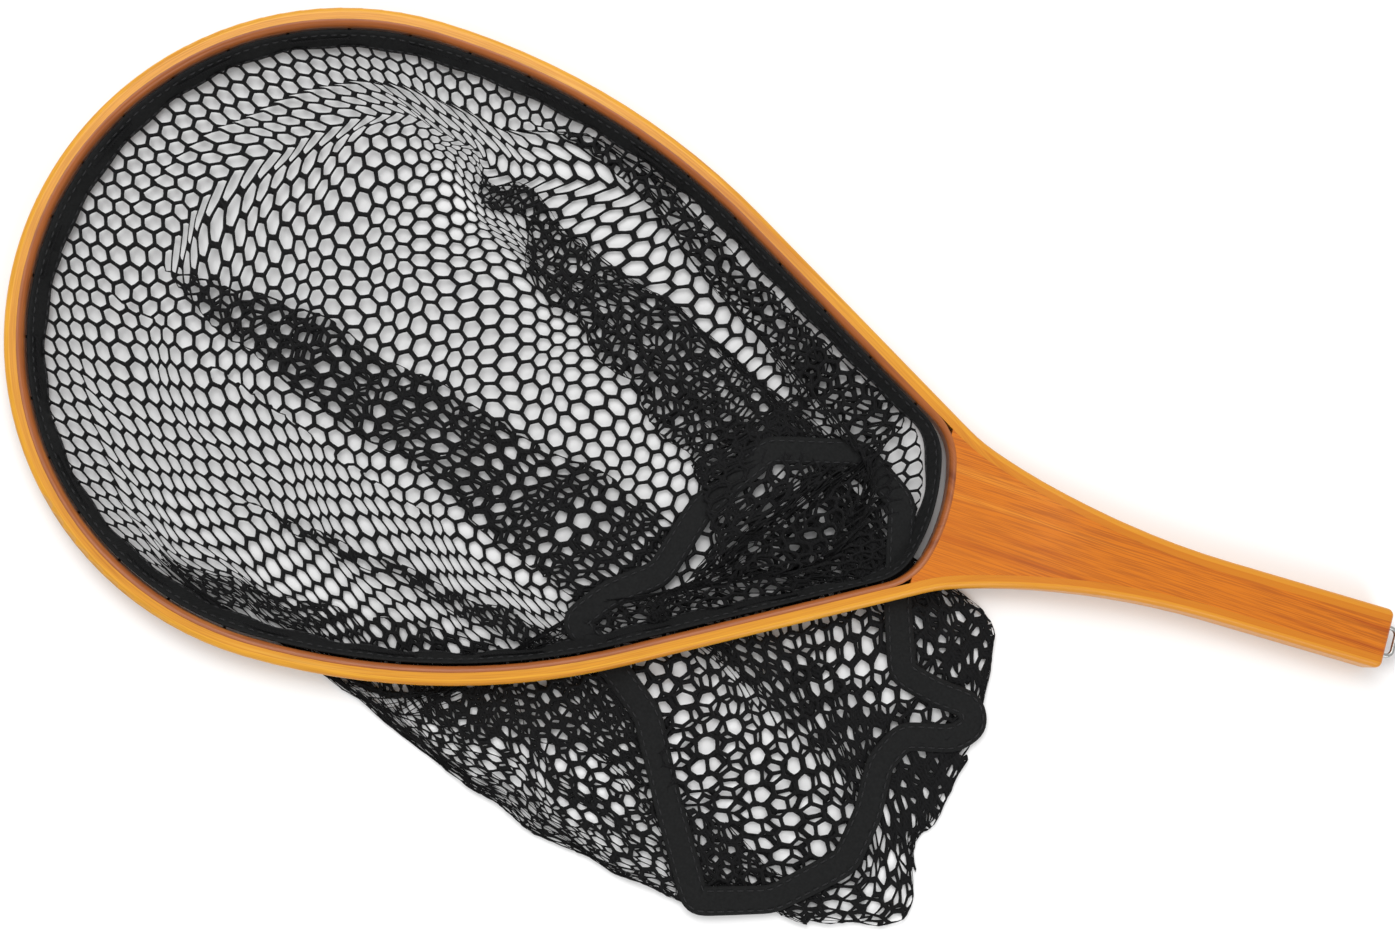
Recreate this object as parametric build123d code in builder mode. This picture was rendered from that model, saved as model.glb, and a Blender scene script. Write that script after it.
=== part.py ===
from build123d import *
import os
from math import atan, atan2, cos, degrees, radians, sin, sqrt

# A wooden landing net lying on a flat surface, its bag dragged out under the near side of the hoop.
# The plan is laid out along the handle: x is 0 at the hoop's widest place and grows towards the
# butt, and y is 0 on the handle's axis. Millimetres and degrees.

# Hoop and handle, as seen from above
hoop_width = 290.0  # over the outer faces
handle_width = 26.8
handle_straight = 76.34  # the straight end of the handle, up to the butt
side_radius = 320.0  # the hoop's long sides
side_angle = 29.75  # how far the sides turn in before they run straight
neck_radius = 77.5  # where the hoop turns into the handle
neck_angle = 18.2
grip_radius = 357.0
corner_radius = 27.0  # the opening's two corners beside the yoke
corner_end_angle = 75.0
yoke_radius = 82.0
ply = 2.8  # thickness of each bent strip of wood
butt_corner = 3.0
core_tip = 0.6  # width of the core's feathered tips beside the yoke

# Hoop and handle, as seen from the side
handle_thickness = 18.0
hoop_height = 12.0
swell_gap = 2.9  # from the neck's end to where the hoop's height starts to grow
swell_length = 60.0  # over which it grows into the handle's thickness
edge_round = 2.4

# Lacing
lacing_holes = 36
lacing_margin = 9.2  # from the last holes to where the opening's corners start
cord_diameter = 1.4
cord_clearance = 0.15
run_radius = 80.0  # halfway along each outer run that follows a curve
groove_side_gap = 0.6  # between the cord and each side of its groove
knot_diameter = 3.6

# Hem tape, folded over the bag's top edge
tape_thickness = 1.6
tape_height = 9.0
tape_gap = 0.2  # between the tape and the wood
tape_slack = 5.0  # how much sooner the tape turns across the yoke than the wood does

# Netting and the taped seam between its two panels
net_layer = 1.3
seam_tape_width = 12.0
panel_gap = 0.2
thread_width = 0.6
thread_height = 0.3
hem_thread_rise = 2.0  # above the hem tape's lower edge
seam_thread_inset = 2.0  # in from the seam tape's edge

# Lanyard bail
wire_diameter = 2.0
bail_width = 12.5  # between the centres of its legs
bail_projection = 7.0
bail_bend = 3.0
leg_depth = 14.0

# Where the bag lies once it is dragged out, as points of its outline outside the hoop, and the
# route of the bottom seam
bag_lie = [(28, -112), (112, -176), (212, -196), (304, -178), (315, -86), (268, -20), (150, -40)]
bag_lie_radius = 22.0
seam_route = [
    (128, -90), (166, -46), (196, 10), (246, 12), (268, -50),
    (300, -88), (280, -158), (214, -187), (172, -120),
]
seam_route_radius = 13.0

# Worked out from the sizes above
nose_radius = hoop_width / 2
wall = 3 * ply
hoop_bottom = (handle_thickness - hoop_height) / 2
hoop_top = hoop_bottom + hoop_height
mid_height = handle_thickness / 2
turn = radians(side_angle)
neck_turn = radians(neck_angle)
corner_turn = radians(corner_end_angle)
shoulder = (
    nose_radius
    - side_radius * (1 - cos(turn))
    - neck_radius * (cos(neck_turn) - cos(turn))
    - grip_radius * (1 - cos(neck_turn))
    - handle_width / 2
) / sin(turn)
neck_end = side_radius * sin(turn) + shoulder * cos(turn) + neck_radius * (sin(turn) - sin(neck_turn))
butt_x = neck_end + grip_radius * sin(neck_turn) + handle_straight
swell_start = neck_end + swell_gap
swell_height = (handle_thickness - hoop_height) / 2
swell_radius = (swell_length**2 + swell_height**2) / (4 * swell_height)
swell_turn = degrees(2 * atan(swell_height / swell_length))
opening_side = (
    nose_radius
    - wall
    - (side_radius - wall) * (1 - cos(turn))
    - corner_radius * (cos(turn) - cos(corner_turn))
    - yoke_radius * cos(corner_turn)
) / sin(turn)
with BuildLine() as bag_edge:
    FilletPolyline(*bag_lie, radius=bag_lie_radius, close=True)
bag_low_y = bag_edge.line.bounding_box().min.Y
bail_end = butt_x + bail_projection
tape_bottom = hoop_bottom
tape_inner = wall + tape_gap + tape_thickness
hole_diameter = cord_diameter + 2 * cord_clearance
cord_bend = hole_diameter / 2 + cord_clearance
groove_depth = hole_diameter
groove_width = cord_diameter + 2 * groove_side_gap
outside = 0.5  # how far a cutting outline runs past the wood's faces

# The origin is on the floor, under the middle of the whole object's box.
floor = Plane(origin=((nose_radius - bail_end) / 2, -(nose_radius + bag_low_y) / 2, 0))
side_view = Plane(origin=floor.origin, x_dir=(1, 0, 0), z_dir=(0, -1, 0))


def level(height):
    """The plan at a height above the surface that the net lies on."""
    return floor.offset(height)


def wood_outline(inset):
    """Hoop and handle as one closed outline, moved in by inset."""
    nose = JernArc((inset - nose_radius, 0), (0, 1), nose_radius - inset, -90)
    side = JernArc(nose @ 1, nose % 1, side_radius - inset, -side_angle)
    run = Line(side @ 1, side @ 1 + (side % 1) * shoulder)
    neck = JernArc(run @ 1, run % 1, neck_radius + inset, side_angle - neck_angle)
    grip = JernArc(neck @ 1, neck % 1, grip_radius + inset, neck_angle)
    edge = Line(grip @ 1, (butt_x, (grip @ 1).Y))
    Line(edge @ 1, (butt_x, 0))
    mirror(about=Plane.XZ)


def opening_outline(inset, slack=0.0):
    """The closed loop round the hoop's opening, inset from the hoop's outer face."""
    nose = JernArc((inset - nose_radius, 0), (0, 1), nose_radius - inset, -90)
    side = JernArc(nose @ 1, nose % 1, side_radius - inset, -side_angle)
    run = Line(side @ 1, side @ 1 + (side % 1) * (opening_side - slack))
    corner = JernArc(run @ 1, run % 1, corner_radius + wall - inset, side_angle - corner_end_angle)
    JernArc(corner @ 1, corner % 1, (corner @ 1).Y / cos(corner_turn), corner_end_angle - 90)
    mirror(about=Plane.XZ)


def face_of(outline, *sizes, mode=Mode.ADD):
    """The face inside an outline, added to the sketch that is being made."""
    with BuildLine(mode=Mode.PRIVATE) as edge:
        outline(*sizes)
    make_face(edge.edges(), mode=mode)


# The cord's holes and route

with BuildLine() as laced_side:
    laced_nose = JernArc((-nose_radius, 0), (0, 1), nose_radius, -90)
    laced_flank = JernArc(laced_nose @ 1, laced_nose % 1, side_radius, -side_angle)
    laced_run = opening_side - lacing_margin
    Line(laced_flank @ 1, laced_flank @ 1 + (laced_flank % 1) * laced_run)
laced = laced_side.wire()


def on_hoop(share, inset):
    """The point inset from the hoop's outer face, share of the way round, from -1 to 1."""
    point = laced.position_at(abs(share))
    forward = laced.tangent_at(abs(share))
    inner = point + Vector(forward.Y, -forward.X) * inset
    return (inner.X, inner.Y if share > 0 else -inner.Y)


hole_step = 2 / (lacing_holes - 1)
hole_shares = [hole_step * i - 1 for i in range(lacing_holes)]
cord_outside = hole_diameter / 2
cord_inside = tape_inner + hole_diameter / 2
outer_runs = list(zip(hole_shares[::2], hole_shares[1::2]))
curved_share = (nose_radius * radians(90) + side_radius * turn) / laced.length
knot_inside = tape_inner + knot_diameter / 2 + cord_clearance
cord_points = [on_hoop(hole_shares[0], knot_inside)]
cord_bends = []
for first, second in outer_runs:
    middle = (first + second) / 2
    cord_points.append(on_hoop(first, cord_outside))
    cord_bends.append(cord_bend)
    if abs(middle) < curved_share:
        cord_points.append(on_hoop(middle, cord_outside))
        cord_bends.append(run_radius)
    cord_points.append(on_hoop(second, cord_outside))
    cord_bends.append(cord_bend)
    if second < hole_shares[-1]:
        cord_points.append(on_hoop(second, cord_inside))
        cord_points.append(on_hoop(second + hole_step, cord_inside))
        cord_bends += [cord_bend, cord_bend]
cord_points.append(on_hoop(hole_shares[-1], knot_inside))


def hole_mouth(share):
    """The plane across a lacing hole's mouth, with its Z pointing away from the hoop."""
    mouth = Vector(*on_hoop(share, 0))
    origin = level(mid_height).from_local_coords(mouth)
    return Plane(origin=origin, z_dir=mouth - Vector(*on_hoop(share, wall)))


hole_mouths = [hole_mouth(share) for share in hole_shares]

# The wood's outer form, which every strip and the core are cut from
with BuildPart() as blank:
    with BuildSketch(floor):
        face_of(wood_outline, 0)
        face_of(opening_outline, wall, mode=Mode.SUBTRACT)
    extrude(amount=handle_thickness)
    with BuildSketch(side_view):
        with BuildLine():
            hoop_edge = Line((-nose_radius - outside, hoop_top), (swell_start, hoop_top))
            rise = JernArc(hoop_edge @ 1, (1, 0), swell_radius, swell_turn)
            swell = JernArc(rise @ 1, rise % 1, swell_radius, -swell_turn)
            handle_edge = Line(swell @ 1, (butt_x + outside, handle_thickness))
            Line(handle_edge @ 1, (butt_x + outside, mid_height))
            Line(hoop_edge @ 0, (-nose_radius - outside, mid_height))
            mirror(about=Plane(origin=(0, mid_height, 0), z_dir=(0, 1, 0)))
        make_face()
    extrude(amount=hoop_width, both=True, mode=Mode.INTERSECT)
    upright = blank.edges().filter_by(Axis.Z).group_by(Axis.X)[-1]
    fillet(upright, radius=butt_corner)
    outlines = blank.edges().filter_by(Axis.Z, reverse=True)
    across = outlines.filter_by(Axis.Y).sort_by(Axis.X)[:-2]
    fillet(outlines - across, radius=edge_round)
    with Locations(*hole_mouths):
        Hole(hole_diameter / 2, depth=wall + ply)

# One groove for each outer run, from hole to hole
with BuildPart() as grooves:
    with BuildSketch(level(mid_height - groove_width / 2)):
        for first, second in outer_runs:
            start = Vector(*on_hoop(first, 0))
            chord = Vector(*on_hoop(second, 0)) - start
            middle = start + chord / 2
            with Locations((middle.X, middle.Y)):
                Rectangle(chord.length + groove_width, 2 * ply, rotation=degrees(atan2(chord.Y, chord.X)))
        face_of(wood_outline, -outside, mode=Mode.INTERSECT)
        face_of(wood_outline, groove_depth, mode=Mode.SUBTRACT)
    extrude(amount=groove_width)

# Bent strips and handle core


def strip(outer, outer_inset, inner, inner_inset):
    """One strip of the blank, between two outlines."""
    with BuildPart(mode=Mode.PRIVATE) as solid:
        with BuildSketch(floor):
            face_of(outer, outer_inset)
            face_of(inner, inner_inset, mode=Mode.SUBTRACT)
        extrude(amount=handle_thickness)
        add(blank.part, mode=Mode.INTERSECT)
    return solid.part


with BuildPart() as outer_lamination:
    add(strip(wood_outline, -outside, wood_outline, ply))
    add(grooves.part, mode=Mode.SUBTRACT)
outer_lamination.part.label = "outer_lamination"

with BuildPart() as middle_lamination:
    add(strip(wood_outline, ply, wood_outline, 2 * ply))
middle_lamination.part.label = "middle_lamination"

with BuildPart() as inner_lamination:
    add(strip(opening_outline, 2 * ply, opening_outline, wall + outside))
inner_lamination.part.label = "inner_lamination"

# The core starts where the strips have parted by the width of its feathered tips.
core_start = (
    side_radius * sin(turn)
    + opening_side * cos(turn)
    + sqrt(2 * (corner_radius + ply) * core_tip)
)
leg_y = bail_width / 2
with BuildPart() as handle_core:
    with BuildSketch(floor):
        face_of(wood_outline, 2 * ply)
        with Locations(((core_start - nose_radius) / 2, 0)):
            Rectangle(core_start + nose_radius, hoop_width, mode=Mode.SUBTRACT)
        face_of(opening_outline, 2 * ply, mode=Mode.SUBTRACT)
    extrude(amount=handle_thickness)
    add(blank.part, mode=Mode.INTERSECT)
    for side in (1, -1):
        with Locations(Location(floor.from_local_coords((butt_x, side * leg_y, mid_height)), (0, 90, 0))):
            Hole(wire_diameter / 2, depth=leg_depth)
handle_core.part.label = "handle_core"

# Wire bail in the butt
with BuildPart() as lanyard_bail:
    with BuildLine(level(mid_height)) as bail_route:
        FilletPolyline(
            (butt_x - leg_depth, leg_y),
            (bail_end - wire_diameter / 2, leg_y),
            (bail_end - wire_diameter / 2, -leg_y),
            (butt_x - leg_depth, -leg_y),
            radius=bail_bend,
        )
    with BuildSketch(Plane(origin=bail_route.line @ 0, z_dir=bail_route.line % 0)):
        Circle(wire_diameter / 2)
    sweep()
lanyard_bail.part.label = "lanyard_bail"

# Bag: hem tape, netting and the taped bottom seam


def ring(outline, outer, inner, low, high):
    """A closed band between two outlines, from one height to another."""
    with BuildPart(mode=Mode.PRIVATE) as band:
        with BuildSketch(level(low)):
            face_of(outline, *outer)
            face_of(outline, *inner, mode=Mode.SUBTRACT)
        extrude(amount=high - low)
    return band.part


def seam_outline(inset):
    """The bottom seam's closed route, moved in by inset."""
    with BuildLine(mode=Mode.PRIVATE) as route:
        FilletPolyline(*seam_route, radius=seam_route_radius, close=True)
    add(offset(route.wire(), -inset, mode=Mode.PRIVATE) if inset else route.wire())


with BuildPart() as hem_tape:
    add(ring(opening_outline, (wall + tape_gap, tape_slack), (tape_inner, tape_slack),
             tape_bottom, tape_bottom + tape_height))
    with Locations(*hole_mouths):
        Hole(hole_diameter / 2, depth=tape_inner + tape_thickness)
hem_tape.part.label = "hem_tape"

with BuildPart() as hem_thread:
    add(ring(opening_outline, (tape_inner, tape_slack), (tape_inner + thread_height, tape_slack),
             tape_bottom + hem_thread_rise, tape_bottom + hem_thread_rise + thread_width))
hem_thread.part.label = "hem_thread"

with BuildPart() as lacing_cord:
    with BuildLine(level(mid_height)) as route:
        FilletPolyline(*cord_points, radius=cord_bends)
    with BuildSketch(Plane(origin=route.line @ 0, z_dir=route.line % 0)):
        Circle(cord_diameter / 2)
    sweep()
    for end in (cord_points[0], cord_points[-1]):
        with Locations(level(mid_height).from_local_coords(end)):
            Sphere(knot_diameter / 2)
lacing_cord.part.label = "lacing_cord"

with BuildPart() as bag_side_net:
    with BuildSketch(floor):
        face_of(opening_outline, wall + tape_gap, tape_slack)
        make_face(bag_edge.edges())
    extrude(amount=net_layer)
    add(ring(opening_outline, (wall + tape_gap, tape_slack), (tape_inner, tape_slack),
             net_layer, tape_bottom))
    with BuildSketch(level(net_layer)):
        face_of(seam_outline, -panel_gap)
    extrude(amount=tape_bottom - net_layer, mode=Mode.SUBTRACT)
bag_side_net.part.label = "bag_side_net"

with BuildPart() as bottom_seam_tape:
    add(ring(seam_outline, (0,), (seam_tape_width,), net_layer, 2 * net_layer))
bottom_seam_tape.part.label = "bottom_seam_tape"

with BuildPart() as bag_bottom_net:
    with BuildSketch(level(net_layer)):
        face_of(seam_outline, seam_tape_width)
    extrude(amount=net_layer)
bag_bottom_net.part.label = "bag_bottom_net"

with BuildPart() as seam_thread:
    add(ring(seam_outline, (seam_thread_inset,), (seam_thread_inset + thread_width,),
             2 * net_layer, 2 * net_layer + thread_height))
seam_thread.part.label = "seam_thread"

os.makedirs("parts", exist_ok=True)
for piece in (
    outer_lamination, middle_lamination, inner_lamination, handle_core, lanyard_bail, lacing_cord,
    hem_tape, hem_thread, bag_side_net, bag_bottom_net, bottom_seam_tape, seam_thread,
):
    export_step(piece.part, f"parts/{piece.part.label}.step")
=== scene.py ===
import bpy
import math
import numpy as np
from mathutils import Matrix, Vector


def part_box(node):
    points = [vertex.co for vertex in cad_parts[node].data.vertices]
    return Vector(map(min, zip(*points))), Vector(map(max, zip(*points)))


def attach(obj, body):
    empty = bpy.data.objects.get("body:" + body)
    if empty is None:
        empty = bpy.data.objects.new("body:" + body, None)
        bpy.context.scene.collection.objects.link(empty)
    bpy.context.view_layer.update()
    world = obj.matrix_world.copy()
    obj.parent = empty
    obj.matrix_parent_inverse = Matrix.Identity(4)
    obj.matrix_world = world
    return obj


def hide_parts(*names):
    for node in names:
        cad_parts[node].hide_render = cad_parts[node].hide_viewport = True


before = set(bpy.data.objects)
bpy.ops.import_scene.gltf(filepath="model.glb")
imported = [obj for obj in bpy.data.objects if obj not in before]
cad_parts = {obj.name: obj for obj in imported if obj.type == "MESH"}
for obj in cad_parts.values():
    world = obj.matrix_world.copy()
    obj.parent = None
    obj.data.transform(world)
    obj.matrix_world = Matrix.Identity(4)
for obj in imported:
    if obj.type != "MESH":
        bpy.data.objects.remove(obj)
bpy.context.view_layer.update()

# A wooden landing net lying flat, its bag dragged out under the near side of the hoop.
# Lengths in this script are millimetres, and MM turns them into the frame's metres.
MM = 0.001

# Sizes of the wood, the same as the CAD model's
NOSE_RADIUS = 145.0
SIDE_RADIUS = 320.0
SIDE_TURN = math.radians(29.75)
CORNER_RADIUS = 27.0
CORNER_TURN = math.radians(75.0)
YOKE_RADIUS = 82.0
HALF_HANDLE = 13.4
PLY = 2.8
WALL = 3 * PLY
HOOP_HIGH = 15.0
CORD_LEVEL = 9.0
LACING_HOLES = 36
LACING_MARGIN = 9.2  # from the last holes to where the opening's corners start
OPENING_SIDE = (
    NOSE_RADIUS - WALL - (SIDE_RADIUS - WALL) * (1 - math.cos(SIDE_TURN))
    - CORNER_RADIUS * (math.cos(SIDE_TURN) - math.cos(CORNER_TURN)) - YOKE_RADIUS * math.cos(CORNER_TURN)
) / math.sin(SIDE_TURN)

# The hoop's centre line and widest place, read from the frame
hoop_low, hoop_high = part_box("outer_lamination")
NOSE_X = hoop_low[0] / MM + NOSE_RADIUS
AXIS_Y = (hoop_low[1] + hoop_high[1]) / 2 / MM


# ---- Camera, light and floor ----

# The view is almost straight down, 6 degrees off vertical, and turned 16 degrees
CAMERA_RIGHT = Vector((0.95895, 0.27742, 0.05876))
CAMERA_UP = Vector((-0.28199, 0.95479, 0.09416))
CAMERA_PLACE = Vector((-31.8, -79.3, 877.8))
LENS = 51.61
SENSOR_WIDTH = 36

DAYLIGHT = 0.72
FLOOR_HALF = 12.0  # metres
FLOOR_SHADE_SHARE = 0.3  # how much painted shade greys the floor under the net inside the hoop
FLOOR_SHADE_EDGE = 0.01  # metres from the hoop's outer face over which the painted shade on the floor comes in


def make_camera():
    """A camera that takes in the whole net, its butt at the frame's edge."""
    data = bpy.data.cameras.new("camera")
    data.lens = LENS
    data.sensor_width = SENSOR_WIDTH
    camera = bpy.data.objects.new("camera", data)
    bpy.context.collection.objects.link(camera)
    back = CAMERA_RIGHT.cross(CAMERA_UP)
    place = Matrix((CAMERA_RIGHT, CAMERA_UP, back)).transposed().to_4x4()
    place.translation = CAMERA_PLACE * MM
    camera.matrix_world = place
    bpy.context.scene.camera = camera


def make_light(name, energy, size, place):
    """A square softbox that faces the net's middle."""
    data = bpy.data.lights.new(name, "AREA")
    data.energy = energy
    data.size = size
    light = bpy.data.objects.new(name, data)
    bpy.context.collection.objects.link(light)
    light.location = place
    light.rotation_euler = (-Vector(place)).to_track_quat("-Z", "Y").to_euler()


def make_stage():
    """White surroundings, two softboxes and the floor."""
    world = bpy.data.worlds.new("studio")
    world.use_nodes = True
    background = world.node_tree.nodes["Background"]
    background.inputs["Color"].default_value = (1, 1, 1, 1)
    background.inputs["Strength"].default_value = DAYLIGHT
    bpy.context.scene.world = world
    bpy.context.scene.view_settings.view_transform = "Standard"
    make_light("softbox_high", energy=19, size=1.2, place=(-0.5, 0.7, 1.5))
    make_light("softbox_near", energy=7, size=0.8, place=(0.9, -0.9, 1.1))
    mesh = bpy.data.meshes.new("floor")
    signs = ((-1, -1), (1, -1), (1, 1), (-1, 1))
    mesh.from_pydata([(x * FLOOR_HALF, y * FLOOR_HALF, 0) for x, y in signs], [], [(0, 1, 2, 3)])
    floor = bpy.data.objects.new("floor", mesh)
    bpy.context.collection.objects.link(floor)
    floor.data.materials.append(floor_material())


# ---- Material tools ----

class Shader:
    """A node tree with short calls for the nodes that the materials use."""

    def __init__(self, name):
        self.material = bpy.data.materials.new(name)
        self.material.use_nodes = True
        self.tree = self.material.node_tree
        self.bsdf = self.tree.nodes["Principled BSDF"]

    def node(self, kind, **values):
        """A new node of a kind, with its properties set."""
        made = self.tree.nodes.new(kind)
        for key, value in values.items():
            setattr(made, key, value)
        return made

    def put(self, value, socket):
        """Links an output to a socket, or sets a number or colour on it."""
        if isinstance(value, bpy.types.NodeSocket):
            self.tree.links.new(value, socket)
        else:
            socket.default_value = value

    def maths(self, operation, *values, clamp=False):
        """One step of arithmetic on outputs or numbers."""
        made = self.node("ShaderNodeMath", operation=operation, use_clamp=clamp)
        for value, socket in zip(values, made.inputs):
            self.put(value, socket)
        return made.outputs[0]

    def mix(self, share, first, second):
        """The first colour where share is 0, the second where it is 1."""
        made = self.node("ShaderNodeMix", data_type="RGBA")
        self.put(share, made.inputs["Factor"])
        self.put(first, made.inputs[6])
        self.put(second, made.inputs[7])
        return made.outputs[2]

    def ramp(self, value, *stops):
        """A colour for a value, between stops that each give a value and its colour."""
        made = self.node("ShaderNodeValToRGB")
        elements = made.color_ramp.elements
        while len(elements) < len(stops):
            elements.new(0.5)
        for element, (place, colour) in zip(elements, stops):
            element.position = place
            element.color = (*colour, 1)
        self.put(value, made.inputs[0])
        return made.outputs[0]

    def noise(self, vector, scale, detail=3.0, distortion=0.0):
        """Smooth noise from 0 to 1, which changes scale times in a metre."""
        made = self.node("ShaderNodeTexNoise")
        self.put(vector, made.inputs["Vector"])
        made.inputs["Scale"].default_value = scale
        made.inputs["Detail"].default_value = detail
        made.inputs["Distortion"].default_value = distortion
        return made.outputs[0]

    def place(self):
        """The shaded point in the frame, in metres."""
        return self.node("ShaderNodeTexCoord").outputs["Object"]

    def parts(self, vector):
        """The x, y and z of a vector."""
        made = self.node("ShaderNodeSeparateXYZ")
        self.put(vector, made.inputs[0])
        return made.outputs

    def join(self, x, y, z):
        """A vector from its x, y and z."""
        made = self.node("ShaderNodeCombineXYZ")
        for value, socket in zip((x, y, z), made.inputs):
            self.put(value, socket)
        return made.outputs[0]

    def bump(self, height, strength, distance):
        """Relief on the surface, distance metres high where height is 1."""
        made = self.node("ShaderNodeBump")
        made.inputs["Strength"].default_value = strength
        made.inputs["Distance"].default_value = distance
        self.put(height, made.inputs["Height"])
        self.put(made.outputs[0], self.bsdf.inputs["Normal"])


def srgb(red, green, blue):
    """A colour from 8-bit values, as the linear numbers that sockets take."""
    return tuple((c / 255) ** 2.2 for c in (red, green, blue))


def grey(level):
    """A neutral colour."""
    return (level, level, level)


def floor_material():
    """Pale paper, with painted shade that greys it inside the hoop, under the net."""
    s = Shader("floor_paper")
    x, y, _ = s.parts(s.place())
    tone = s.ramp(s.noise(s.place(), 3), (0.3, grey(0.87)), (0.7, grey(0.9)))
    shade_inside = s.maths("DIVIDE", across_wood(s, x, y), FLOOR_SHADE_EDGE, clamp=True)
    # Painted shade: the floor is mixed toward dark grey inside the hoop, where the net shades it
    tone = s.mix(s.maths("MULTIPLY", shade_inside, FLOOR_SHADE_SHARE), tone, (*grey(0.28), 1))
    s.put(tone, s.bsdf.inputs["Base Color"])
    s.bsdf.inputs["Roughness"].default_value = 0.9
    s.bump(s.noise(s.place(), 900, 2), 0.05, 0.0001)
    return s.material


def across_wood(s, x, y):
    """How far a point lies inside the outer face, for grain that follows the bent strips."""
    side = s.maths("ABSOLUTE", s.maths("SUBTRACT", y, AXIS_Y * MM))
    along = s.maths("SUBTRACT", x, NOSE_X * MM)

    def within_arc(radius, drop):
        """How far inside a circle, whose centre lies drop past the net's axis."""
        beside = s.maths("ADD", side, drop)
        square = s.maths("ADD", s.maths("POWER", along, 2.0), s.maths("POWER", beside, 2.0))
        return s.maths("SUBTRACT", radius, s.maths("SQRT", square))

    nose = within_arc(NOSE_RADIUS * MM, 0.0)
    flank = within_arc(SIDE_RADIUS * MM, (SIDE_RADIUS - NOSE_RADIUS) * MM)
    flank_x = SIDE_RADIUS * math.sin(SIDE_TURN) * MM
    flank_y = (SIDE_RADIUS * math.cos(SIDE_TURN) - SIDE_RADIUS + NOSE_RADIUS) * MM
    run = s.maths("ADD", s.maths("MULTIPLY", s.maths("SUBTRACT", flank_x, along), math.sin(SIDE_TURN)),
                  s.maths("MULTIPLY", s.maths("SUBTRACT", flank_y, side), math.cos(SIDE_TURN)))
    handle = s.maths("SUBTRACT", HALF_HANDLE * MM, side)
    seam = 0.001
    neck_start, neck_end = 0.262, 0.335

    def blend(first, second, start, end):
        """One value up to start, the other from end on, in metres from the widest place."""
        share = s.maths("DIVIDE", s.maths("SUBTRACT", along, start), end - start, clamp=True)
        rest = s.maths("SUBTRACT", 1.0, share)
        return s.maths("ADD", s.maths("MULTIPLY", first, rest), s.maths("MULTIPLY", second, share))

    near = blend(nose, flank, -seam, seam)
    middle = blend(near, run, flank_x - seam, flank_x + seam)
    return blend(middle, handle, neck_start, neck_end)


def wood_material(name, pale, mid, dark, streak, pores=0.5, straight=False, handle_tone=None):
    """Varnished wood: growth streaks along the strip, fine pores, tone drifting along it.

    Straight grain runs along the handle; handle_tone is what a strip's tone deepens to there."""
    s = Shader(name)
    x, y, z = s.parts(s.place())
    across = s.maths("ADD", y, s.maths("MULTIPLY", x, 0.03)) if straight else across_wood(s, x, y)
    depth = s.maths("MULTIPLY", z, 0.35)

    def streaks(along, sideways, detail, distortion=0.0):
        """Noise drawn out along the strip, by how often it changes in a metre along and across."""
        layer = s.maths("MULTIPLY", s.maths("ADD", across, depth), sideways)
        stretched = s.join(s.maths("MULTIPLY", x, along), s.maths("MULTIPLY", y, along), layer)
        return s.noise(stretched, 1.0, detail, distortion)

    wide = streaks(5.0, 210.0, 5, 0.4)
    fine = streaks(45.0, 2600.0, 3)
    cloud = s.noise(s.place(), 14, 2)
    tone = s.ramp(wide, (0.30, dark), (0.44, mid), (0.56, mid), (0.70, pale))
    pore = s.ramp(fine, (0.42, grey(1)), (0.55, grey(0)))
    tone = s.mix(s.maths("MULTIPLY", pore, pores * 0.5), tone, (*streak, 1))
    tone = s.mix(s.ramp(cloud, (0.35, grey(0)), (0.75, grey(0.4))), tone, (*mid, 1))
    if handle_tone:
        toward_handle = s.maths("DIVIDE", s.maths("SUBTRACT", x, 0.06), 0.09, clamp=True)
        tone = s.mix(s.maths("MULTIPLY", toward_handle, 0.75), tone, (*handle_tone, 1))
    s.put(tone, s.bsdf.inputs["Base Color"])
    s.put(s.ramp(fine, (0.35, grey(0.42)), (0.65, grey(0.3))), s.bsdf.inputs["Roughness"])
    s.bsdf.inputs["Coat Weight"].default_value = 0.12
    s.bsdf.inputs["Coat Roughness"].default_value = 0.16
    s.bsdf.inputs["Specular IOR Level"].default_value = 0.25
    s.bump(fine, 0.12, 0.0002)
    return s.material


def yarn_material(name, pitch, colour=(0.0022, 0.0022, 0.0025), rough=0.7):
    """Black multifilament yarn: slanted ribs a pitch apart, in metres, and fuzz."""
    s = Shader(name)
    wave = s.node("ShaderNodeTexWave", wave_type="BANDS", bands_direction="DIAGONAL")
    s.put(s.place(), wave.inputs["Vector"])
    wave.inputs["Scale"].default_value = 1 / (pitch * math.pi)
    wave.inputs["Distortion"].default_value = 3.0
    wave.inputs["Detail"].default_value = 2.0
    fuzz = s.noise(s.place(), 2600, 2)
    lit = tuple(c * 2.3 for c in colour)
    ribs = s.maths("MULTIPLY", wave.outputs["Fac"], fuzz)
    s.put(s.ramp(ribs, (0.15, colour), (0.6, lit)), s.bsdf.inputs["Base Color"])
    s.bsdf.inputs["Roughness"].default_value = rough
    s.bsdf.inputs["Sheen Weight"].default_value = 0.03
    s.bsdf.inputs["Specular IOR Level"].default_value = 0.15
    s.bump(s.maths("ADD", wave.outputs["Fac"], s.maths("MULTIPLY", fuzz, 0.5)), 0.5, 0.00025)
    return s.material


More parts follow.
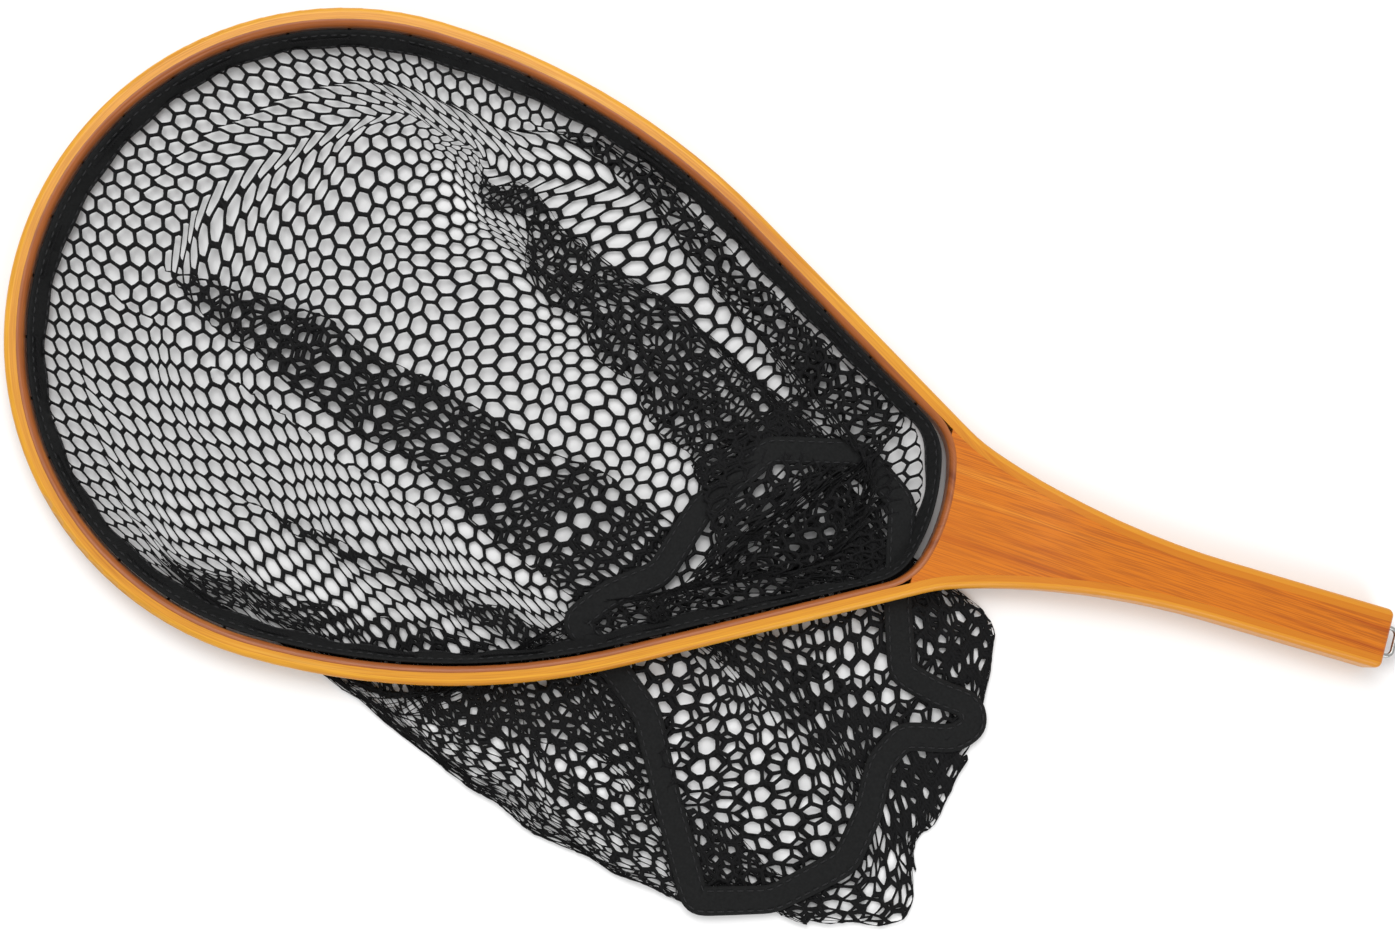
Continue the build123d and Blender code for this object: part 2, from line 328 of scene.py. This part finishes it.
def tape_material(name):
    """Black woven tape, with fine crossing ribs."""
    s = Shader(name)
    x, y, z = s.parts(s.place())
    pitch = 0.0009

    def ribs(value):
        return s.maths("SINE", s.maths("MULTIPLY", value, 2 * math.pi / pitch))

    falling = ribs(s.maths("ADD", x, y))
    rising = ribs(s.maths("SUBTRACT", x, s.maths("ADD", y, z)))
    weave = s.maths("MULTIPLY", falling, rising)
    fuzz = s.noise(s.place(), 900, 3)
    dark, lit = (0.0022, 0.0024, 0.0025), (0.0075, 0.0078, 0.008)
    s.put(s.ramp(fuzz, (0.3, dark), (0.75, lit)), s.bsdf.inputs["Base Color"])
    s.bsdf.inputs["Roughness"].default_value = 0.7
    s.bsdf.inputs["Sheen Weight"].default_value = 0.03
    s.bsdf.inputs["Specular IOR Level"].default_value = 0.18
    s.bump(s.maths("ADD", weave, fuzz), 0.35, 0.0002)
    return s.material


def wire_material():
    """Drawn steel, with its marks along the bail's legs."""
    s = Shader("bail_steel")
    x, y, z = s.parts(s.place())
    across = [s.maths("MULTIPLY", value, 4000.0) for value in (y, z)]
    drawn = s.noise(s.join(s.maths("MULTIPLY", x, 60.0), *across), 1.0, 2)
    dark, lit = (0.30, 0.30, 0.29), (0.52, 0.52, 0.5)
    s.put(s.ramp(drawn, (0.3, dark), (0.7, lit)), s.bsdf.inputs["Base Color"])
    s.bsdf.inputs["Metallic"].default_value = 1.0
    s.put(s.ramp(drawn, (0.3, grey(0.28)), (0.7, grey(0.42))), s.bsdf.inputs["Roughness"])
    return s.material


def paint(node, material):
    """Gives a CAD node's object its material."""
    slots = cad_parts[node].material_slots
    if not slots:
        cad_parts[node].data.materials.append(material)
    for slot in slots:
        slot.material = material


# ---- Mesh tools ----

def new_piece(name, points, faces, material, slot, replaced):
    """A smooth mesh piece that rides on the root body; points are millimetres in the frame."""
    mesh = bpy.data.meshes.new(name)
    mesh.from_pydata((np.asarray(points) * MM).tolist(), [], faces)
    mesh.validate()
    mesh.update()
    mesh.shade_smooth()
    piece = bpy.data.objects.new(name, mesh)
    bpy.context.collection.objects.link(piece)
    piece.data.materials.append(material)
    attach(piece, "root")
    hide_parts(replaced)
    return piece


def unit(vectors):
    """Vectors brought to length 1."""
    return vectors / np.maximum(np.linalg.norm(vectors, axis=-1, keepdims=True), 1e-9)


def swept(rings, closed):
    """Points and faces of rings of points joined one to the next, with capped ends if open."""
    count, sides = rings.shape[:2]
    faces = []
    for i in range(count if closed else count - 1):
        a, b = i * sides, (i + 1) % count * sides
        for k in range(sides):
            m = (k + 1) % sides
            faces.append((a + k, a + m, b + m, b + k))
    if not closed:
        faces.append(tuple(range(sides))[::-1])
        faces.append(tuple(range((count - 1) * sides, count * sides)))
    return rings.reshape(-1, 3), faces


def frames_along(path, closed):
    """Tangents, level side directions and their ups along a path."""
    if closed:
        tangent = unit(np.roll(path, -1, 0) - np.roll(path, 1, 0))
    else:
        tangent = unit(np.gradient(path, axis=0))
    side = unit(np.cross((0.0, 0.0, 1.0), tangent))
    return tangent, side, np.cross(tangent, side)


def tube(path, radius, sides):
    """A round tube along an open path; radius is one number or one for each point."""
    _, side, up = frames_along(path, closed=False)
    angle = np.arange(sides) * 2 * math.pi / sides
    ring = np.cos(angle)[None, :, None] * side[:, None] + np.sin(angle)[None, :, None] * up[:, None]
    return swept(path[:, None] + ring * np.reshape(radius, (-1, 1, 1)), closed=False)


def joined(parts):
    """Several (points, faces) as one."""
    points, faces, start = [], [], 0
    for more_points, more_faces in parts:
        points.append(more_points)
        faces += [tuple(k + start for k in face) for face in more_faces]
        start += len(more_points)
    return np.concatenate(points), faces


def resample(points, count, closed=False):
    """count points evenly spaced along a polyline."""
    if closed:
        points = np.vstack([points, points[:1]])
    run = np.concatenate([[0], np.cumsum(np.linalg.norm(np.diff(points, axis=0), axis=1))])
    at = np.linspace(0, run[-1], count, endpoint=not closed)
    return np.stack([np.interp(at, run, points[:, k]) for k in range(points.shape[1])], 1)


def smoothed(points, passes, closed=False):
    """A path with its corners worn round, its ends kept."""
    for _ in range(passes):
        if closed:
            points = (np.roll(points, 1, 0) + 2 * points + np.roll(points, -1, 0)) / 4
        else:
            points[1:-1] = (points[:-2] + 2 * points[1:-1] + points[2:]) / 4
    return points


def length_of(path):
    """The length of a polyline."""
    return np.linalg.norm(np.diff(path, axis=0), axis=1).sum()


def stitches(path, out):
    """A row of short threads along a closed path, which dip into the cloth at both ends."""
    pitch = 4.3
    radius = 0.3
    lift = np.array([-0.6, 0.35, 0.6, 0.35, -0.6]) * radius
    thick = np.array([0.5, 1.0, 1.1, 1.0, 0.5]) * radius
    steps = len(lift) + 1
    count = int(length_of(path) / pitch)
    fine = resample(path, count * steps, closed=True)
    outward = unit(resample(out, count * steps, closed=True))
    parts = []
    for i in range(count):
        pick = slice(i * steps, i * steps + len(lift))
        parts.append(tube(fine[pick] + outward[pick] * lift[:, None], thick, 5))
    return joined(parts)


# ---- The hoop's plan, which the tapes, lacing and netting follow ----

HEM_POINTS = 1050


def half_opening(inset, slack):
    """Half of the opening's outline inset from the hoop's outer face, nose to yoke."""
    arc_step = 2.0
    run_points = 50

    def arc(centre, radius, start, end):
        count = max(int(abs(end - start) * radius / arc_step), 3)
        angle = np.linspace(start, end, count)
        return np.stack([centre[0] + radius * np.cos(angle), centre[1] + radius * np.sin(angle)], 1)

    nose = arc((0, 0), NOSE_RADIUS - inset, math.pi, math.pi / 2)
    side = arc((0, NOSE_RADIUS - SIDE_RADIUS), SIDE_RADIUS - inset, math.pi / 2, math.pi / 2 - SIDE_TURN)
    run = side[-1] + np.array([math.cos(SIDE_TURN), -math.sin(SIDE_TURN)]) * (OPENING_SIDE - slack)
    radius = CORNER_RADIUS + WALL - inset
    inward = np.array([math.sin(SIDE_TURN), math.cos(SIDE_TURN)])
    corner = arc(run - inward * radius, radius, math.pi / 2 - SIDE_TURN, math.pi / 2 - CORNER_TURN)
    yoke = corner[-1, 1] / math.cos(CORNER_TURN)
    centre = (corner[-1, 0] - yoke * math.sin(CORNER_TURN), 0)
    last = arc(centre, yoke, math.pi / 2 - CORNER_TURN, 0)
    straight = resample(np.stack([side[-1], run]), run_points)
    return np.vstack([nose, side[1:], straight[1:], corner[1:], last[1:]])


def opening(inset, slack):
    """The whole opening's outline in the frame, evenly spaced, from the nose over the far side.

    slack is how much sooner it turns across the yoke than the wood does."""
    half = half_opening(inset, slack)
    whole = np.vstack([half, half[-2:0:-1] * (1, -1)])
    return resample(whole, HEM_POINTS, closed=True) + (NOSE_X, AXIS_Y)


def laced(share, inset):
    """A place on the laced length, share from -1 to 1 of the way round from the nose."""
    nose = NOSE_RADIUS * math.pi / 2
    side = SIDE_RADIUS * SIDE_TURN
    run = abs(share) * (nose + side + OPENING_SIDE - LACING_MARGIN)
    if run < nose:
        angle = math.pi - run / NOSE_RADIUS
        x = (NOSE_RADIUS - inset) * math.cos(angle)
        y = (NOSE_RADIUS - inset) * math.sin(angle)
    else:
        turn = min((run - nose) / SIDE_RADIUS, SIDE_TURN)
        beyond = max(run - nose - side, 0)
        x = (SIDE_RADIUS - inset) * math.sin(turn) + beyond * math.cos(turn)
        y = NOSE_RADIUS - SIDE_RADIUS + (SIDE_RADIUS - inset) * math.cos(turn) - beyond * math.sin(turn)
    return np.array([NOSE_X + x, AXIS_Y + (y if share > 0 else -y)])


# ---- Netting ----

CELL = 8.6  # from one mesh to the next around the hoop
ROW = 7.45  # from one row of mesh to the next
THREAD = 0.5  # half the height of the knitted thread
COLUMNS = 140
ROWS = 39
DEPTH = ROWS * ROW
SUB_U = 4  # steps of a cell, which its corners and edge middles fall on
SUB_V = 6  # steps of a row
HOLE_CORNER = 0.77  # the hole's size at the cell's corners
HOLE_MIDDLE = 0.805  # and at its edge middles

# The bottom seam as it lies, from its left end round the far side
SEAM = [
    (-38, -66), (-26, -50), (-8, -36), (1, -4), (23, 30), (62, 40), (86, 24), (96, -20), (106, -48),
    (124, -52), (139, -53), (143, -61), (136, -69), (114, -74), (107, -88), (108, -110), (104, -133),
    (78, -157), (46, -167), (22, -128), (4, -96), (-14, -82),
]

# How the side netting lies: for places round the hem, by distance from the nose, the points that
# the netting passes on its way from the hem to the bottom seam, each as x, y and height
LIE = {
    0: [],
    53: [],
    106: [],
    159: [(-150, 104, 1.2)],
    212: [(-160, 138, 3), (-112, 92, 1.2)],
    252: [(-122, 121, 2), (-127, 98, 2.6), (-117, 112, 1.4)],
    292: [(-93, 134, 4), (-90, 145, 2), (-85, 108, 1.4), (-99, 68, 3), (-84, 97, 2)],
    333: [(-59, 117, 6), (-52, 133, 2.5), (-45, 92, 1.4), (-64, 45, 3.2), (-42, 82, 2.2)],
    373: [(-26, 93, 7), (-17, 114, 3), (-5, 76, 1.5), (-34, 28, 3.4), (-8, 68, 2.4)],
    430: [(19, 62, 7), (32, 86, 3), (30, 60, 1.6), (-8, 12, 4), (24, 52, 2.8)],
    484: [(62, 34, 8), (78, 60, 3), (58, 44, 2), (5, -10, 6), (60, 16, 3.2), (134, -12, 1.6)],
    525: [(45, 8, 9), (2, -36, 7), (68, -20, 4), (146, -30, 1.8)],
    566: [(32, -16, 8), (-12, -50, 6), (70, -58, 2), (140, -98, 1.4)],
    620: [(2, -38, 7), (-28, -60, 5), (38, -82, 1.8), (140, -146, 1.4)],
    677: [(-38, -62, 5), (-55, -88, 3), (-22, -128, 1.4), (104, -164, 1.6)],
    758: [(-92, -127, 1.4), (-24, -157, 1.6), (62, -166, 2), (50, -130, 2.6)],
    838: [(-120, -121, 1.4), (-52, -149, 1.6), (20, -164, 2), (10, -130, 2.6)],
    891: [(-140, -108, 1.2), (-62, -134, 1.8), (-12, -120, 2.4)],
    944: [(-180, -80, 1.2)],
    997: [],
}
HEM_LENGTH = 1050.0
FULLNESS = 170.0  # how much wider the netting is than the hem that it is gathered on
NET_INSET = 5.5  # of the netting's top edge, inside the wood
NET_SLACK = 5.0
NET_TOP = 4.5
SEAM_LEVEL = 1.8  # where the side netting reaches the bottom seam
LOWEST_WAY = 0.8
LAYER = 0.9  # how much each fold lifts the netting
RIPPLES = ((70, 1.4), (38, 0.7), (22, 0.35))  # wavelengths and their sizes
RIPPLE_SEED = 7
PANEL_LEVEL = 3.6  # of the bottom panel

# Pleats that take up the netting's spare width as it nears the shorter bottom seam: where each
# one lies round the hem near its start and its end, how deep down it starts, and its share
PLEATS = [
    (14, 66, 0.16, 2.3), (160, 205, 0.42, 0.8), (300, 320, 0.2, 0.4), (430, 450, 0.1, 1.1),
    (500, 510, 0.1, 1.5), (575, 580, 0.1, 1.5), (690, 700, 0.2, 0.8), (800, 810, 0.3, 0.5),
    (900, 940, 0.08, 2.0), (975, 988, 0.3, 0.9),
]


def seam_path(count):
    """The bottom seam's closed route in plan."""
    return smoothed(resample(np.array(SEAM, float), count, closed=True), int(count / 40), closed=True)


def hanging_ways(levels):
    """The netting's way from hem to seam for each step round the hem, at each level down."""
    hem = opening(WALL + NET_INSET, NET_SLACK)
    seam = seam_path(len(hem))
    stations, ways = [], []
    for distance, between in LIE.items():
        pick = int(distance / HEM_LENGTH * len(hem))
        points = np.array([(*hem[pick], NET_TOP), *between, (*seam[pick], SEAM_LEVEL)], float)
        way = smoothed(resample(points, levels), 6)
        way[:, 2] = np.maximum(way[:, 2], LOWEST_WAY)
        stations.append(distance)
        ways.append(way)
    stations = np.array(stations)
    stations = np.concatenate([stations - HEM_LENGTH, stations, stations + HEM_LENGTH])
    ways = np.array(ways * 3)
    at = np.arange(COLUMNS * SUB_U) * HEM_LENGTH / (COLUMNS * SUB_U)
    after = np.searchsorted(stations, at, side="right")
    gap = (stations[after] - stations[after - 1])[:, None, None]
    t = (at - stations[after - 1])[:, None, None] / gap
    a, b, c, d = (ways[after + k] for k in (-2, -1, 0, 1))
    ahead = (d - b) / (stations[after + 1] - stations[after - 1])[:, None, None]
    behind = (c - a) / (stations[after] - stations[after - 2])[:, None, None]
    return (b * (1 + 2 * t) * (1 - t) ** 2 + behind * gap * t * (1 - t) ** 2
            + c * t**2 * (3 - 2 * t) + ahead * gap * t**2 * (t - 1))


def side_surface():
    """Points of the side netting on a fine grid, round the hem and down."""
    levels = ROWS * SUB_V + 1
    ways = hanging_ways(levels)
    columns = COLUMNS * SUB_U
    seam_share = length_of(seam_path(600)) / HEM_LENGTH
    surface = np.zeros((columns, levels, 3))
    u = np.arange(columns) * HEM_LENGTH / columns
    # how many layers up the netting lies at the start, at each fold's two edges and at the end
    lifts = [0.0, 0.0, 1.0] + [0.5, 1.0] * (len(PLEATS) - 1) + [0.0]
    # how fast the spare width, the folds and their lift come in with depth
    gathering, folding, lifting = 2.5, 8, 4
    for row in range(levels):
        v = row / (levels - 1)
        length = HEM_LENGTH * (1 + (seam_share - 1) * v)
        weights = np.array([share * max(v - start, 0) / (1 - start) for _, _, start, share in PLEATS])
        spare = HEM_LENGTH - length + FULLNESS * min(v * gathering, 1)
        folds = spare / 2 * weights / max(weights.sum(), 1e-6) * min(v * folding, 1)
        knots_u, knots_b, used = [0.0], [0.0], 0.0
        for (first, last, _, _), fold in zip(PLEATS, folds):
            centre = (first + (last - first) * v) * length / HEM_LENGTH
            knots_u += [centre + fold / 2 + 2 * used, centre + fold / 2 + 2 * used + fold]
            knots_b += [centre + fold / 2, centre - fold / 2]
            used += fold
        knots_u.append(length + 2 * used)
        knots_b.append(length)
        scaled = u * knots_u[-1] / HEM_LENGTH
        base = np.interp(scaled, knots_u, knots_b) / length * columns
        layer = np.interp(scaled, knots_u, lifts)
        low = np.floor(base).astype(int)
        t = (base - low)[:, None]
        surface[:, row] = ways[low % columns, row] * (1 - t) + ways[(low + 1) % columns, row] * t
        surface[:, row, 2] += layer * LAYER * min(v * lifting, 1)
    for _ in range(2):
        surface = (np.roll(surface, 1, 0) + 2 * surface + np.roll(surface, -1, 0)) / 4
    flat = np.zeros_like(surface)
    flat[..., 0] = u[:, None] * (HEM_LENGTH + FULLNESS) / HEM_LENGTH
    flat[..., 1] = np.linspace(0, DEPTH, levels)
    free = np.clip(np.linspace(0, 8, levels), 0, 1)[:, None]
    surface += ripples(surface) * free + ripples(flat) * free * 0.9
    surface[..., 2] = np.maximum(surface[..., 2], THREAD + 0.2)
    return surface


def ripples(points):
    """Small uneven shifts of the netting as it lies, in its plane and in height."""
    draw = np.random.default_rng(RIPPLE_SEED)
    shift = np.zeros_like(points)
    for length, size in RIPPLES:
        for axis in range(3):
            for _ in range(3):
                angle, phase = draw.uniform(0, 2 * math.pi, 2)
                wave = points[..., 0] * math.cos(angle) + points[..., 1] * math.sin(angle)
                height = size if axis < 2 else size * 0.25
                shift[..., axis] += height * np.sin(wave * 2 * math.pi / length + phase) / 2
    return shift


def mesh_cells(cells, sample, wrap=None):
    """Knitted netting with one rounded hole in each cell, its thread thickest at its middle line.

    sample(u, v) gives the surface's points and normals at steps of a cell and of a row, and the
    netting closes on itself after wrap steps."""
    corners = np.array([(0, 4), (2, 2), (2, -2), (0, -4), (-2, -2), (-2, 2)])
    middles = (corners + np.roll(corners, -1, 0)) / 2
    rim = np.stack([corners, middles], 1).reshape(-1, 2)
    hole = rim * np.tile([HOLE_CORNER, HOLE_MIDDLE], len(corners))[:, None]
    centres = np.array([(SUB_U * i + SUB_U / 2 * (j % 2 + 1), SUB_V * j + SUB_V / 2) for i, j in cells])
    rim_uv = (centres[:, None] + rim).reshape(-1, 2)
    hole_uv = (centres[:, None] + hole).reshape(-1, 2)
    key = np.round(rim_uv).astype(int)
    if wrap:
        key[:, 0] %= wrap
    _, first, index = np.unique(key, axis=0, return_index=True, return_inverse=True)
    sides = 2 * len(corners)
    index = index.reshape(-1, sides)
    edges = {}
    for cell in index.tolist():
        for k in range(sides):
            pair = tuple(sorted((cell[k], cell[(k + 1) % sides])))
            edges[pair] = edges.get(pair, 0) + 1
    place, normal = sample(rim_uv[first, 0], rim_uv[first, 1])
    inner, _ = sample(hole_uv[:, 0], hole_uv[:, 1])
    points = np.concatenate([place + normal * THREAD, place - normal * THREAD, inner])
    count = len(first)
    faces = []
    for number, cell in enumerate(index.tolist()):
        start = 2 * count + number * sides
        for k in range(sides):
            m = (k + 1) % sides
            a, b = cell[k], cell[m]
            faces.append((a, start + k, start + m, b))
            faces.append((b + count, start + m, start + k, a + count))
            if edges[(min(a, b), max(a, b))] == 1:
                faces.append((a, b, b + count, a + count))
    return points, faces


def make_side_net(material):
    """The bag's side netting, in four pieces round the hoop."""
    surface = side_surface()
    columns, levels = surface.shape[:2]
    along = np.roll(surface, -1, 0) - np.roll(surface, 1, 0)
    down = np.gradient(surface, axis=1)
    normals = unit(np.cross(along, down))

    def sample(u, v):
        """Points and normals of the netting, between those of the grid."""
        v = np.clip(v, 0, levels - 1.001)
        i, j = np.floor(u).astype(int), np.floor(v).astype(int)
        a, b = (u - i)[:, None], (v - j)[:, None]

        def blend(grid):
            one = grid[i % columns, j] * (1 - a) + grid[(i + 1) % columns, j] * a
            two = grid[i % columns, j + 1] * (1 - a) + grid[(i + 1) % columns, j + 1] * a
            return one * (1 - b) + two * b

        return blend(surface), unit(blend(normals))

    names = ("far_nose", "far_yoke", "near_yoke", "near_nose")
    quarter = COLUMNS // len(names)
    for number, name in enumerate(names):
        first = number * quarter
        cells = [(i, j) for i in range(first, first + quarter) for j in range(ROWS)]
        points, faces = mesh_cells(cells, sample, wrap=columns)
        piece = new_piece("side_net_" + name, points, faces, material, "netting", "bag_side_net")


def make_bottom_net(material):
    """The bag's bottom panel, lying inside the seam."""
    seam = seam_path(300)
    turn = math.radians(28)
    centre = seam.mean(0)
    reach = 20  # cells from the middle to each side, more than the panel needs

    def sample(u, v):
        """Points and normals of the panel, which lies almost flat."""
        x = (u / SUB_U - reach) * CELL
        y = (v / SUB_V - reach) * ROW
        east = x * math.cos(turn) - y * math.sin(turn)
        north = x * math.sin(turn) + y * math.cos(turn)
        place = np.stack([east, north, np.full(len(x), PANEL_LEVEL)], 1)
        place[:, :2] += centre
        place = place + ripples(place * 1.3)
        return place, np.tile((0.0, 0.0, 1.0), (len(x), 1))

    def inside(point):
        """Whether a ray from the point crosses the seam an odd number of times."""
        x, y = point[:2]
        ends = np.roll(seam, -1, 0)
        crossing = (seam[:, 1] > y) != (ends[:, 1] > y)
        slope = (ends[:, 0] - seam[:, 0]) / (ends[:, 1] - seam[:, 1] + 1e-12)
        return (crossing & (x < slope * (y - seam[:, 1]) + seam[:, 0])).sum() % 2 == 1

    cells = []
    for i in range(2 * reach):
        for j in range(2 * reach):
            u = SUB_U * i + SUB_U / 2 * (j % 2 + 1)
            place, _ = sample(np.array([u]), np.array([SUB_V * (j + 0.5)]))
            if inside(place[0]):
                cells.append((i, j))
    points, faces = mesh_cells(cells, sample)
    piece = new_piece("bottom_net", points, faces, material, "netting", "bag_bottom_net")


# ---- Tapes, threads and lacing ----

HEM_WIDTH = 10.6
HEM_SLACK = 3.0
SEAM_WIDTH = 12.5
CORD_STRANDS = 3
CORD_TWIST = 6.5  # path points to a turn
STRAND_LAY = 0.34  # from the cord's middle to a strand's
STRAND_RADIUS = 0.4


def band(path, across, thick, width, half_thick, emboss):
    """A closed strip of tape along a path, with the knitted mesh under it pressed through.

    across and thick are its unit directions at each point."""
    across_points = 13
    one_way = np.linspace(-1, 1, across_points)
    shares = np.concatenate([one_way, -one_way])
    face = np.repeat([1.0, -1.0], across_points)
    body = np.sqrt(np.maximum(1 - np.abs(shares) ** 6, 0.12))
    run = np.concatenate([[0], np.cumsum(np.linalg.norm(np.diff(path, axis=0), axis=1))])[:, None]
    column = run / CELL * math.pi
    row = shares * width / 2 / ROW * math.pi
    press = np.abs(np.sin(column + row)) * np.abs(np.sin(column - row))
    height = face * (body * half_thick + (press - 0.5) * emboss * (np.abs(shares) < 0.95))
    sideways = across[:, None] * (shares * width / 2)[None, :, None]
    return swept(path[:, None] + sideways + thick[:, None] * height[..., None], closed=True)


def make_hem(material, thread):
    """The hem tape inside the hoop, leaning in at the bottom and drawn back where it is laced."""
    top = opening(WALL + 1.3, HEM_SLACK)
    plan_in = unit(opening(WALL + 6.0, HEM_SLACK) - top)
    turn = np.arange(HEM_POINTS) / HEM_POINTS * 2 * math.pi
    pull = 0.5 + 0.5 * np.cos(turn * (LACING_HOLES + 0.5))
    lean = np.radians(36 + 7 * np.sin(turn * 5 + 1) - 9 * pull)
    across = np.column_stack([plan_in * np.sin(lean)[:, None], -np.cos(lean)])
    face = np.column_stack([plan_in * np.cos(lean)[:, None], np.sin(lean)])
    edge = np.column_stack([top, HOOP_HIGH - 2.6 - 0.7 * pull])
    path = edge + across * HEM_WIDTH / 2
    points, faces = band(path, across, face, HEM_WIDTH, half_thick=0.75, emboss=0.22)
    hem = new_piece("hem_tape_band", points, faces, material, "tape", "hem_tape")
    rows = [stitches(path + across * offset + face * 0.82, face) for offset in (3.6, -3.0)]
    new_piece("hem_stitches", *joined(rows), thread, "thread", "hem_thread")


def make_seam(material, thread):
    """The tape that binds the bag's bottom seam."""
    count = 520
    turn = np.arange(count) / count * 2 * math.pi
    level = 4.6 + 0.7 * np.sin(3 * turn + 1) + 0.3 * np.sin(11 * turn)
    path = np.column_stack([seam_path(count), level])
    _, side, up = frames_along(path, closed=True)
    tilt = 0.16 * np.sin(5 * turn) + 0.1 * np.sin(9 * turn + 2)
    across = side * np.cos(tilt)[:, None] + up * np.sin(tilt)[:, None]
    thick = up * np.cos(tilt)[:, None] - side * np.sin(tilt)[:, None]
    points, faces = band(path, across, thick, SEAM_WIDTH, half_thick=0.7, emboss=0.3)
    tape = new_piece("seam_tape_band", points, faces, material, "tape", "bottom_seam_tape")
    rows = [stitches(path + across * offset + thick * 0.8, thick) for offset in (4.4, -4.4)]
    new_piece("seam_stitches", *joined(rows), thread, "thread", "seam_thread")


def make_lacing(material):
    """The cord through the hoop's holes, over the hem tape inside and in the grooves outside."""
    outer, over = 0.85, WALL + 4.6
    step = 2 / (LACING_HOLES - 1)
    points = []
    for i in range(LACING_HOLES):
        share = i * step - 1
        before, after = (over, outer) if i % 2 == 0 else (outer, over)
        points += [(*laced(share, before), CORD_LEVEL), (*laced(share, after), CORD_LEVEL)]
        if i < LACING_HOLES - 1:
            points += [(*laced(share + step * t, after), CORD_LEVEL) for t in (0.25, 0.5, 0.75)]
    path = smoothed(resample(np.array(points), 2400), 3)
    _, side, up = frames_along(path, closed=False)
    turn = np.arange(len(path)) * 2 * math.pi / CORD_TWIST
    strands = []
    for number in range(CORD_STRANDS):
        angle = turn + number * 2 * math.pi / CORD_STRANDS
        strand = path + (side * np.cos(angle)[:, None] + up * np.sin(angle)[:, None]) * STRAND_LAY
        strands.append(tube(strand, STRAND_RADIUS, 6))
    new_piece("lacing", *joined(strands), material, "lacing", "lacing_cord")


make_camera()
make_stage()
paint("outer_lamination", wood_material(
    "outer_wood", srgb(222, 172, 78), srgb(212, 150, 46), srgb(186, 114, 28), srgb(146, 80, 22),
    handle_tone=srgb(202, 130, 36)))
paint("middle_lamination", wood_material(
    "middle_wood", srgb(214, 158, 62), srgb(202, 136, 38), srgb(176, 104, 26), srgb(134, 70, 18),
    handle_tone=srgb(188, 106, 20)))
# The inner strip's dark browns are painted shade, standing in for the shade on the hoop's inner wall
paint("inner_lamination", wood_material(
    "inner_wood", srgb(180, 116, 62), srgb(150, 84, 40), srgb(110, 54, 27), srgb(70, 33, 17)))
paint("handle_core", wood_material(
    "core_wood", srgb(208, 126, 36), srgb(196, 108, 20), srgb(164, 78, 12), srgb(116, 50, 8),
    0.9, straight=True))
paint("lanyard_bail", wire_material())
netting = yarn_material("knitted_netting", 0.0011)
woven = tape_material("woven_tape")
sewing = yarn_material("sewing_thread", 0.0004, (0.016, 0.016, 0.017), 0.45)
make_hem(woven, sewing)
make_seam(woven, sewing)
make_side_net(netting)
make_bottom_net(netting)
make_lacing(yarn_material("lacing_cord_braid", 0.0008))
